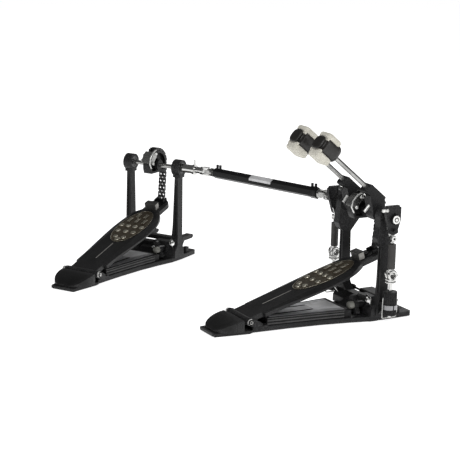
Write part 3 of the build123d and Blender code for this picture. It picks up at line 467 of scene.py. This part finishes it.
def core_trim(work, side_x):
    """Thin parting line round the core's barrel, just below its shoulder."""
    loft(work, [
        squared_ring(
            rod_basis(side_x, HEAD_ALONG + along, BARREL_ACROSS), 16.95, 16.35, CORE_SQUARENESS
        )
        for along in (10.2, 10.7)
    ])


def hub_bolts(work, side_x):
    """Key bolts of a hub: one into the rod from behind, one into the axle from below."""
    middle = mm(side_x, 0, AXLE_Z)
    key_bolt(work, basis(middle + (STRIKE * 11 + CLIMB * 38) * MM, RIGHT, CLIMB), 0.95)
    tilt = STRIKE * 0.76 - CLIMB * 0.65
    key_bolt(work, basis(middle - (STRIKE * 8 + CLIMB * 9.2) * MM, RIGHT, tilt), 0.9)


for side, side_x, axle_body in (("right", BEATER_X, "main_axle"), ("left", -BEATER_X, "left_axle")):
    beater = f"{side}_beater"
    make_piece(
        f"{side}_felt_faces", beater, "felt", felts, side_x, replaces=(f"{side}_beater_felts",)
    )
    make_piece(
        f"{side}_moulded_core", beater, "dark_plastic", core, side_x,
        replaces=(f"{side}_beater_core",),
    )
    make_piece(f"{side}_core_trim", beater, "dark_plastic", core_trim, side_x, look="cover")
    make_piece(f"{side}_hub_bolts", axle_body, "chrome", hub_bolts, side_x)


# ---------------------------------------------------------------- chains
CHAIN_PITCH = 6.35
CHAIN_LINE = 30  # radius of the chain's pins on the cam
CHAIN_END = math.radians(116)  # round the cam, where the saddle holds the chain's end
RUN_TOP = mm(0, CHAIN_LINE, AXLE_Z - 0.2)
RUN_END = mm(0, 24.93, 110.3)
STRANDS = (-3.9, 3.9)
PLATE_RADIUS = 2.6
PLATE_WAIST = PLATE_RADIUS * 0.72
PLATE_THICKNESS = 0.9
INNER_REACH, OUTER_REACH = 1.7, 2.75  # from a strand's middle to its side plates


def link_plate(work, matrix, centre_x):
    """Figure-eight side plate over one pitch, from the matrix's origin along its y."""
    outline = []
    for sign, start, along in ((1, math.pi, 0), (-1, 0, CHAIN_PITCH)):
        for step in range(9):
            turn = start + math.pi * step / 8
            outline.append((PLATE_RADIUS * math.cos(turn), along + PLATE_RADIUS * math.sin(turn)))
        outline.append((sign * PLATE_WAIST, CHAIN_PITCH / 2))
    loft(work, [
        [matrix @ mm(centre_x + side * PLATE_THICKNESS / 2, along, out) for out, along in outline]
        for side in (-1, 1)
    ])


def chain_pin(work, matrix, low, high, radius, count):
    """Pin across the chain at the matrix's origin."""
    turned(work, matrix @ TURN_TO_X, [(radius, low), (radius, high)], count)


def chain(work, points):
    """Links of both strands from each point to the next, inner and outer by turns."""
    for index, (here, there) in enumerate(zip(points, points[1:])):
        matrix = basis(here, RIGHT, there - here)
        inner = index % 2 == 0
        for strand in STRANDS:
            for sign in (-1, 1):
                reach = INNER_REACH if inner else OUTER_REACH
                link_plate(work, matrix, strand + sign * reach)
            if inner:
                chain_pin(work, matrix, strand - 1.5, strand + 1.5, 1.75, 10)
        chain_pin(work, matrix, STRANDS[0] - 3.3, STRANDS[1] + 3.3, 1.0, 8)


def arc_points():
    """Pin places over the cam, from its front round to the saddle behind."""
    step = 2 * math.asin(CHAIN_PITCH / 2 / CHAIN_LINE)
    return [
        mm(0, CHAIN_LINE * math.cos(step * i), AXLE_Z + CHAIN_LINE * math.sin(step * i))
        for i in range(int(CHAIN_END / step) + 1)
    ]


def run_points():
    """Pin places down the straight run, to the pin in the footboard's bracket."""
    count = round((RUN_TOP - RUN_END).length / (CHAIN_PITCH * MM))
    return [RUN_TOP.lerp(RUN_END, i / count) for i in range(count + 1)]


for unit, place in UNITS.items():
    make_piece(
        f"{unit}_chain_over_cam", f"{unit}_axle", "chain_steel", chain, arc_points(),
        place=place, replaces=(f"{unit}_chain_wrap",),
    )
    make_piece(
        f"{unit}_chain_links", f"{unit}_footboard", "chain_steel", chain, run_points(),
        place=place, replaces=(f"{unit}_chain_run",),
    )


# ---------------------------------------------------------------- footboards
BOARD_SLOPE = math.radians(17.5)
# local y up the footboard from the hinge line, local z out of its top face
BOARD = basis(mm(0, HINGE_Y, 25.6), RIGHT, (0, math.cos(BOARD_SLOPE), math.sin(BOARD_SLOPE)))
STUDS = [(0, 114), (-8.6, 122), (8.6, 122)]
STUDS += [(x, 143) for x in (-17, 0, 17)]
STUDS += [(x, 163.5) for x in (-22, -7.5, 7.5, 22)]
STUD_DOME = [(4.7, 0.7), (4.7, 1.9), (4.2, 2.5), (2.8, 2.8), (1.2, 2.88), (0.2, 2.9)]
BARS = [(x, 184) for x in (-16, 0, 16)]
BARS += [(x, 203) for x in (-8, 8)]


def oval_strip(work, matrix, centre, outer, width, low, high):
    """Narrow raised strip along an ellipse."""
    rows = [
        [
            matrix @ mm(
                centre[0] + (outer[0] - inset) * math.cos(turn),
                centre[1] + (outer[1] - inset) * math.sin(turn),
                height,
            )
            for turn in turns(96)
        ]
        for inset, height in ((0, low), (0, high), (width, high), (width, low))
    ]
    loft(work, [*rows, rows[0]], False)
    bmesh.ops.remove_doubles(work, verts=work.verts, dist=WELD)


def grip_studs(work):
    """Polished domes over the tread plate's round studs."""
    for x, along in STUDS:
        turned(work, BOARD @ at(x, along, 0), STUD_DOME)


def grip_bars(work):
    """Two narrow polished ribs on each of the tread plate's bars, and the rim round the plate."""
    for x, along in BARS:
        for shift in (-1.7, 1.7):
            loft(work, [
                stadium(BOARD, (x + shift, along), 7.6 - inset, 1.25 - inset, height)
                for inset, height in ((0, 2.4), (0, 2.75), (0.5, 2.95))
            ])
    oval_strip(work, BOARD, (0, 165.2), (28.4, 59.4), 0.7, 0.7, 1.05)


def groove_line(work):
    """Light inlay in the footboard's centre groove."""
    loft(work, [stadium(BOARD, (0, 72), 28.4, 0.95, height) for height in (-0.95, -0.15)])


def stop_pads(work):
    """Light pads let into both flanks of the toe stop."""
    for sign in (-1, 1):
        outward = Matrix.Rotation(sign * math.radians(90), 4, "Y")
        flank = BOARD @ at(sign * 12, 236.5, 7) @ outward
        rounded_block(work, flank, (5.6, 5.2), -0.6, 0.25, 0.25)


for unit, place in UNITS.items():
    for name, slot, fill, look in (
        ("grip_studs", "grip", grip_studs, "stud"),
        ("grip_bars", "grip", grip_bars, "stud"),
        ("groove_line", "board_black", groove_line, "groove"),
        ("stop_pads", "stop_face", stop_pads, "groove"),
    ):
        make_piece(f"{unit}_{name}", f"{unit}_footboard", slot, fill, look=look, place=place)


# ---------------------------------------------------------------- drive shaft
SHAFT_LENGTH = 279.5  # between the two universal joints


def sleeve_label(work):
    """Blank silver label folded over the sleeve's upper flat on the player's side."""
    joint = joints["drive_shaft_turn"]
    along = Vector(joint["axis"]).normalized()
    side_way = along.cross(UP)
    start = Vector(joint["pos_m"]) - along * SHAFT_LENGTH * MM
    section = [(0.9, 9.45), (8.5, 5.1), (8.75, 1.0)]
    outer = [(out + 0.28, rise + 0.12) for out, rise in section]
    inner = [(out - 0.3, rise - 0.3) for out, rise in section[::-1]]
    loft(work, [
        [
            start + (along * distance + side_way * out + UP * rise) * MM
            for out, rise in outer + inner
        ]
        for distance in (109, 160)
    ])


make_piece("sleeve_label", "drive_shaft", "shaft_black", sleeve_label, look="label")


# ---------------------------------------------------------------- spring side
RING_RADIUS, RING_WIRE = 6.8, 2.3
RING_Z = 88.6
RIB_COUNT = 24


def clevis_piece(work):
    """Arm that runs down from the lever's pin into a stem, and the ball on the spring."""
    arm = [(-4.3, 163), (-3.4, 165.8), (0, 167.3), (3.4, 165.8), (4.3, 163), (3.9, 155),
           (3.8, 148.2), (-3.8, 148.2), (-3.9, 155)]
    slab(work, arm, 80.8, 83.3)
    wing = [(-9.4, 167.5), (-7.2, 166.6), (-2.4, 156.5), (-3.8, 150.0), (-5.6, 157.0)]
    slab(work, wing, 81.0, 83.0)
    stem = [(-4.2, 145.6), (4.2, 145.6), (4.6, 150.5), (3.6, 153.8), (-3.6, 153.8), (-4.6, 150.5)]
    slab(work, stem, 81.6, 92.4)
    ball = [(0.4, -3.5), (2.0, -3.0), (3.2, -1.6), (3.6, 0), (3.2, 1.6), (2.2, 2.9), (2.0, 4.2)]
    turned(work, at(SPRING_X, 0, 143.2), ball)


def spring_swivel(work):
    """Swivel under the cover: coil end, two rings on a pin, lock nut and washer."""
    turned(work, at(SPRING_X, 0, 95.6), [(3.4, 0), (5.4, 0.6), (5.4, 2.8), (4.2, 3.8)])
    turned(work, at(SPRING_X, 0, 75.4), [(5.0, 0), (9.2, 0.4), (9.2, 2.0), (5.0, 2.4)], 28)
    turned(work, at(SPRING_X, 0, 78.2), [(8.4, 0), (8.8, 0.5), (8.8, 3.9), (8.4, 4.4)], 6)
    for x in (91.6, 82.4):
        rings = []
        for step in range(33):
            turn = 2 * math.pi * step / 32
            outward = Vector((0, math.cos(turn), math.sin(turn)))
            middle = mm(x, 0, RING_Z) + outward * RING_RADIUS * MM
            rings.append([
                middle + (outward * math.cos(a) + RIGHT * math.sin(a)) * RING_WIRE * MM
                for a in turns(10)
            ])
        loft(work, rings, False)
    bmesh.ops.remove_doubles(work, verts=work.verts, dist=WELD)
    turned(work, along_x(79.4, 7.2, 88), [(1.6, 0), (2.2, 0.4), (2.2, 14.8), (1.6, 15.2)], 16)


def lug_ring(work):
    """Bright band round the frame's lug between the two ribbed nuts."""
    half_x, half_y, squareness = 11.972, 12.2, 2 / 2.3
    loft(work, [
        squared_ring(at(SPRING_X, 0, height), half_x - inset, half_y - inset, squareness)
        for inset, height in ((0.3, 31.2), (0, 31.5), (0, 38.5), (0.3, 38.8))
    ])


def nut_ribs(work):
    """Flutes of the ribbed nuts."""
    for low, high in ((39.4, 60.4), (21.8, 30.4)):
        for turn in turns(RIB_COUNT, 0.5):
            place = at(SPRING_X, 0, 0) @ Matrix.Rotation(turn, 4, "Z") @ at(10.9, 0, 0)
            rib = [(0.5, low), (0.95, low + 0.8), (0.95, high - 0.8), (0.5, high)]
            turned(work, place, rib, 8)


def lever_ring(work):
    """Bright disc over the capped end of the axle, and the small bolt on the lever's pin."""
    disc = [(6.9, 5.3), (6.9, 5.8), (6.5, 6.05), (5.0, 6.1), (0.3, 6.1)]
    turned(work, along_x(90, 0, AXLE_Z), disc, 40)
    middle = [(2.6, 0.1), (2.6, 0.5), (2.1, 0.75), (0.3, 0.8)]
    turned(work, along_x(96.1, 0, AXLE_Z), middle)
    turned(work, along_x(94.3, 0, LEVER_PIN_Z), [(2.9, 0), (2.9, 0.8), (2.4, 1.2), (0.3, 1.3)])


def lever_recess_shade(work):
    """Near-black rounds in the axle's cap, the pin's socket and the clevis, and the lever's slit: painted shade of
    these recesses.
    """
    for x, z, radius, count in (
        (96.1, AXLE_Z, 4.1, 32), (95.6, LEVER_PIN_Z, 1.3, 6), (92.4, 149.4, 1.9, 20)
    ):
        turned(work, along_x(x, 0, z), [(radius, 0.0), (radius, 0.12), (0.3, 0.14)], count)
    slab(work, [(-0.8, 192), (0.8, 192), (0.8, 203.8), (-0.8, 203.8)], 89.9, 90.15)


def hinge_bolt_heads(work):
    """Domed socket heads on both ends of the hinge pin."""
    for sign in (-1, 1):
        outward = Matrix.Rotation(sign * math.radians(90), 4, "Y")
        seat = at(sign * 36, HINGE_Y, 22) @ outward
        turned(work, seat, [(5.25, 0), (5.25, 3.2), (4.6, 4.2), (3.0, 4.5), (2.6, 4.5)])
        turned(work, seat, [(2.2, 2.5), (2.2, 4.45), (2.0, 4.5)], 6)


def pinch_bolt(work):
    """Key bolt that clamps the right lever to the axle."""
    turn = Matrix.Rotation(math.radians(96), 4, "X")
    key_bolt(work, at(87.2, -14.4, 197.4) @ turn)
    nut = [(3.9, 0), (4.4, 0.4), (4.4, 2.2), (3.9, 2.6)]
    turned(work, at(87.2, -12.4, 197.2) @ turn, nut, 6)
    stud = [(1.8, 0), (2.2, 0.4), (2.2, 3.4), (1.6, 3.9)]
    turned(work, at(87.2, -12.6, 191.4) @ turn, stud, 16)


def hub_screw(work, x, ends):
    """Rod clamp's screw, let into the side of a hub."""
    wire(work, [mm(x, y, z) for y, z in ends], 2.4, 14)


def chain_bail(work, place):
    """Wire bail round the chain's end on the cam, with two small bolts."""
    outline = [(-9, 29.5), (-19, 26.5), (-28.5, 16.5), (-30.6, 6), (-25.5, -3.5)]
    wire(work, [place @ mm(9.2, y, AXLE_Z + z) for y, z in outline], 1.2)
    for y, z in ((-12.5, 22.5), (-21.5, 5.5)):
        seat = place @ along_x(9.6, y, AXLE_Z + z)
        turned(work, seat, [(2.6, 0), (2.9, 0.4), (2.9, 2.0), (2.3, 2.6)], 16)


for side, place in (("right", None), ("left", MIRROR)):
    make_piece(
        f"{side}_clevis_fork", f"{side}_spring_link", "chrome", clevis_piece,
        place=place, replaces=(f"{side}_spring_clevis",),
    )
    make_piece(f"{side}_spring_swivel", "base", "chrome", spring_swivel, place=place)
    make_piece(f"{side}_lug_ring", "base", "chrome", lug_ring, look="light_sheet", place=place)
    make_piece(f"{side}_nut_ribs", "base", "nut_black", nut_ribs, place=place)
make_piece("right_lever_ring", "main_axle", "chrome", lever_ring, look="bright_steel")
make_piece("right_lever_recess_shade", "main_axle", "dark_plastic", lever_recess_shade, look="shade")
for unit, place in UNITS.items():
    make_piece(
        f"{unit}_hinge_bolt_heads", "base", "chrome", hinge_bolt_heads,
        look="bright_steel", place=place,
    )
make_piece("right_lever_pinch_bolt", "main_axle", "chrome", pinch_bolt, look="bright_steel")
for side, body, x, ends in (
    ("right", "main_axle", 45.6, ((-20.6, 197.6), (-29.2, 188.0))),
    ("left", "left_axle", -24.4, ((-18.0, 200.4), (-25.6, 189.8))),
):
    make_piece(f"{side}_hub_screw", body, "chrome", hub_screw, x, ends, look="bright_steel")
for unit, place in UNITS.items():
    make_piece(
        f"{unit}_chain_bail", f"{unit}_axle", "chrome", chain_bail, place, look="bright_steel"
    )


# ---------------------------------------------------------------- bases
SPINE_FLANK = [(27, -195), (35, -100), (38.4, -72), (40.4, -57)]  # x, y of the spine's side
# bands along the flank: lower and upper edge, inner and outer face from it; the rib bands are grey painted
# highlight
RIB_HIGHLIGHTS = [(16.4, 18.2, -0.4, 0.12), (20.8, 21.8, -0.4, 0.12), (10.8, 13.4, -0.4, 0.12)]
# the hollow bands are near-black painted shade inside the grooves
HOLLOW_SHADE = [(14.05, 15.95, -0.95, -0.4), (18.55, 20.45, -0.95, -0.4)]
SHEET_Z = 22.9


def spine_strips(work, bands):
    """Strips along both flanks of the base's spine."""
    for sign in (-1, 1):
        for low, high, inner, outer in bands:
            loft(work, [
                [
                    mm(sign * (x + shift), y, z)
                    for shift, z in ((inner, low), (outer, low), (outer, high), (inner, high))
                ]
                for x, y in SPINE_FLANK
            ])


def base_ribs(work):
    """Grey strips on the rib faces: painted highlight."""
    spine_strips(work, RIB_HIGHLIGHTS)


def base_hollows(work):
    """Near-black strips in the grooves between the ribs: painted shade."""
    spine_strips(work, HOLLOW_SHADE)


def sheet_slots(work):
    """Long near-black stadiums laid on both sides of the top sheet: painted shade standing in for slots."""
    for x in (-13, 13):
        loft(work, [
            stadium(Matrix.Identity(4), (x, -142), 41, 2.3, height)
            for height in (SHEET_Z, SHEET_Z + 0.2)
        ])


def sheet_patch(work):
    """Bright panel at the front of the top sheet."""
    outline = [(-16.5, -97), (-15, -99.5), (15, -99.5), (16.5, -97), (24, -55), (22.5, -53.2),
               (-22.5, -53.2), (-24, -55)]
    loft(work, [[mm(x, y, height) for x, y in outline] for height in (SHEET_Z, SHEET_Z + 0.22)])


def wing_knob(work):
    """Pale domed end of the clamp's wing screw."""
    seat = at(33, -35.6, 28) @ Matrix.Rotation(math.radians(90), 4, "X")
    turned(work, seat, [(5.0, 0), (6.2, 0.8), (6.2, 7.5), (5.4, 9.6), (3.2, 10.9), (0.3, 11.2)])


def base_bolts(work):
    """Bolt on the frame's tongue and collars on the floor spurs."""
    bolt = [(3.4, 0), (3.4, 1.6), (2.6, 2.8), (1.2, 3.4), (0.3, 3.5)]
    turned(work, at(11.5, -18.5, 25.6), bolt)
    for sign in (-1, 1):
        down = Vector((-sign * 0.19, 0.56, -0.81))
        level = down.cross(UP)
        seat = basis(mm(sign * 53, -19, 40), level, down.cross(level))
        turned(work, seat, [(4.6, -2.2), (5.0, -1.8), (5.0, 1.4), (4.2, 2.4)], 20)


for unit, place in UNITS.items():
    for name, body, slot, fill, look in (
        ("base_ribs", "base", "black_cast", base_ribs, "rib_grey"),
        ("base_hollows", "base", "black_cast", base_hollows, "shade"),
        ("sheet_slots", "base", "light_sheet", sheet_slots, "shade"),
        ("sheet_patch", "base", "light_sheet", sheet_patch, "label"),
        ("wing_knob", f"{unit}_wing_screw", "dark_plastic", wing_knob, "knob_grey"),
        ("base_bolts", "base", "chrome", base_bolts, "bright_steel"),
    ):
        make_piece(f"{unit}_{name}", body, slot, fill, look=look, place=place)


# ---------------------------------------------------------------- finishes of the CAD nodes
OWN_FINISHES = {  # nodes that are darker or duller than their slot's plain finish
    "nut_black": ("hinge_pins", "right_lever_bolt"),
    "cover": ("right_spring_cover", "left_spring_cover"),
    "black_cast": ("main_chain_clamp", "slave_chain_clamp"),
    "steel": (
        "wire_clips", "right_beater_rod", "left_beater_rod", "main_axle", "left_axle",
        "slave_axle", "main_cam_clamp", "slave_cam_clamp",
    ),
}
finish_of = {part["node"]: part["material_slot"] for part in frame["record"]["subparts"]}
for finish, listed in OWN_FINISHES.items():
    finish_of.update(dict.fromkeys(listed, finish))
for name, node in nodes.items():
    node.data.materials.clear()
    node.data.materials.append(MATERIALS[finish_of[name]])
    if node.data.polygons:
        node.data.polygons.foreach_set("material_index", [0] * len(node.data.polygons))


# ---------------------------------------------------------------- camera, light and floor
# Everything in this part is in metres.
CAMERA_PLACE = (2.0756, -1.3888, 0.7153)
CAMERA_AZIMUTH, CAMERA_TIP, CAMERA_ROLL = (math.radians(a) for a in (61.32, 13.03, 1.32))
LENS, SENSOR = 119.5, 36  # millimetres
LIGHTS = {  # place, width and height, watts
    "key": ((1.2, -1.2, 2.4), (1.6, 1.2), 42),
    "fill": ((2.6, 0.9, 1.3), (1.6, 1.6), 16),
    "back": ((-1.8, 2.0, 1.9), (2.0, 1.0), 30),
}
LIGHTS_TARGET = Vector((-0.2, -0.1, 0.12))
WORLD_STRENGTH = 0.11
FLOOR_REACH = 40.0
FLOOR_GAP = 0.0002
FLOOR_GLOW = 0.90


def add_camera():
    """Long lens from behind and to the right of the main pedal, tipped down a little."""
    flat = math.cos(CAMERA_TIP)
    look = Vector((
        -math.sin(CAMERA_AZIMUTH) * flat, math.cos(CAMERA_AZIMUTH) * flat, -math.sin(CAMERA_TIP)
    ))
    level = look.cross(UP).normalized()
    above = level.cross(look)
    right = level * math.cos(CAMERA_ROLL) + above * math.sin(CAMERA_ROLL)
    up = -level * math.sin(CAMERA_ROLL) + above * math.cos(CAMERA_ROLL)
    data = bpy.data.cameras.new("camera")
    data.sensor_width = SENSOR
    data.lens = LENS
    data.clip_end = 100
    camera = bpy.data.objects.new("camera", data)
    turn = Matrix((right, up, -look)).transposed().to_4x4()
    camera.matrix_world = Matrix.Translation(CAMERA_PLACE) @ turn
    scene.collection.objects.link(camera)
    scene.camera = camera


def add_light(name, place, size, power):
    """Rectangular lamp that faces the middle of the two pedals."""
    data = bpy.data.lights.new(name, "AREA")
    data.shape = "RECTANGLE"
    data.size, data.size_y = size
    data.energy = power
    lamp = bpy.data.objects.new(name, data)
    lamp.location = place
    lamp.rotation_euler = (LIGHTS_TARGET - Vector(place)).to_track_quat("-Z", "Y").to_euler()
    scene.collection.objects.link(lamp)


def add_world():
    """Faint even white light from all round."""
    world = bpy.data.worlds.new("studio")
    world.use_nodes = True
    background = world.node_tree.nodes["Background"]
    background.inputs["Color"].default_value = (1, 1, 1, 1)
    background.inputs["Strength"].default_value = WORLD_STRENGTH
    scene.world = world
    scene.view_settings.view_transform = "Standard"


def add_floor():
    """White floor that glows enough to read as the photograph's blank background."""
    mesh = bpy.data.meshes.new("floor")
    signs = ((-1, -1), (1, -1), (1, 1), (-1, 1))
    corners = [(x * FLOOR_REACH, y * FLOOR_REACH, 0) for x, y in signs]
    mesh.from_pydata(corners, [], [(0, 1, 2, 3)])
    floor = bpy.data.objects.new("floor", mesh)
    scene.collection.objects.link(floor)
    floor.location.z = cad_box[0][2] - FLOOR_GAP
    material, shader = principled("floor_paint", (0.8, 0.8, 0.8), 0, 0.6)
    shader.inputs["Emission Color"].default_value = (1, 1, 1, 1)
    shader.inputs["Emission Strength"].default_value = FLOOR_GLOW
    vary_roughness(material, shader, noise(material, scale=3, detail=2), 0.55, 0.7)
    mesh.materials.append(material)


add_camera()
for name, values in LIGHTS.items():
    add_light(name, *values)
add_world()
add_floor()
